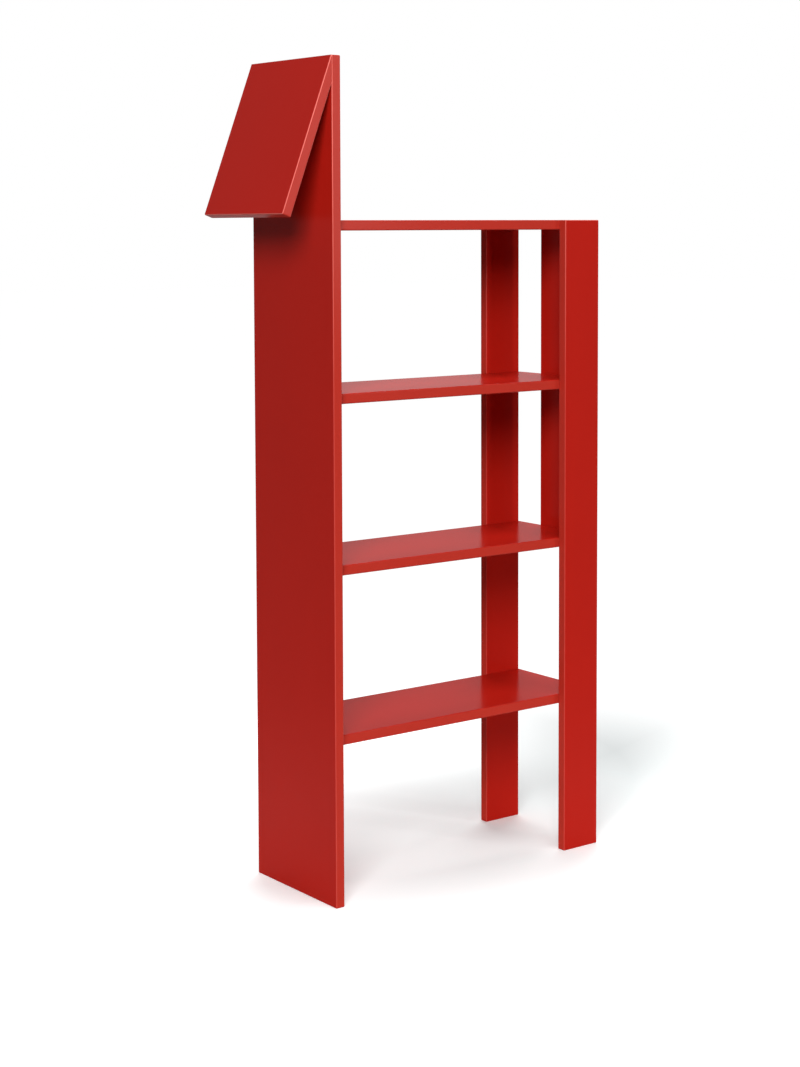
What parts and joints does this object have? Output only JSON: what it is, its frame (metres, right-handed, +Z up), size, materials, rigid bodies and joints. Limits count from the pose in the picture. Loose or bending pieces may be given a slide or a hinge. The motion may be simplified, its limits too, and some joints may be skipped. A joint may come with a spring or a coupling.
{
  "type": "bookshelf",
  "caption": "Open bookshelf of flat boards shaped as a giraffe: tall neck board, sloping head board, shelves, hind legs and a tail.",
  "frame": {"origin": "on the floor, under the middle of the whole outline", "axes": "+X from the head to the tail, +Y across the depth towards the rear leg, +Z up"},
  "size_m": [0.7352, 0.25, 1.48],
  "materials": {
    "red_lacquer": "satin red lacquer on fibreboard",
    "cam_zinc": "die-cast zinc",
    "bolt_steel": "zinc-plated steel",
    "beech": "plain beech"
  },
  "bodies": {
    "root": {"neck_panel": "red_lacquer", "head_panel": "red_lacquer", "top_shelf": "red_lacquer", "upper_shelf": "red_lacquer", "middle_shelf": "red_lacquer", "lower_shelf": "red_lacquer", "front_leg": "red_lacquer", "rear_leg": "red_lacquer", "tail_board": "red_lacquer", "top_shelf_cams": "cam_zinc", "upper_shelf_cams": "cam_zinc", "middle_shelf_cams": "cam_zinc", "lower_shelf_cams": "cam_zinc", "neck_bolts": "bolt_steel", "front_leg_bolts": "bolt_steel", "rear_leg_bolts": "bolt_steel", "tail_bolts": "bolt_steel", "neck_dowels": "beech", "front_leg_dowels": "beech", "rear_leg_dowels": "beech", "tail_dowels": "beech", "head_dowels": "beech"}
  },
  "joints": []
}
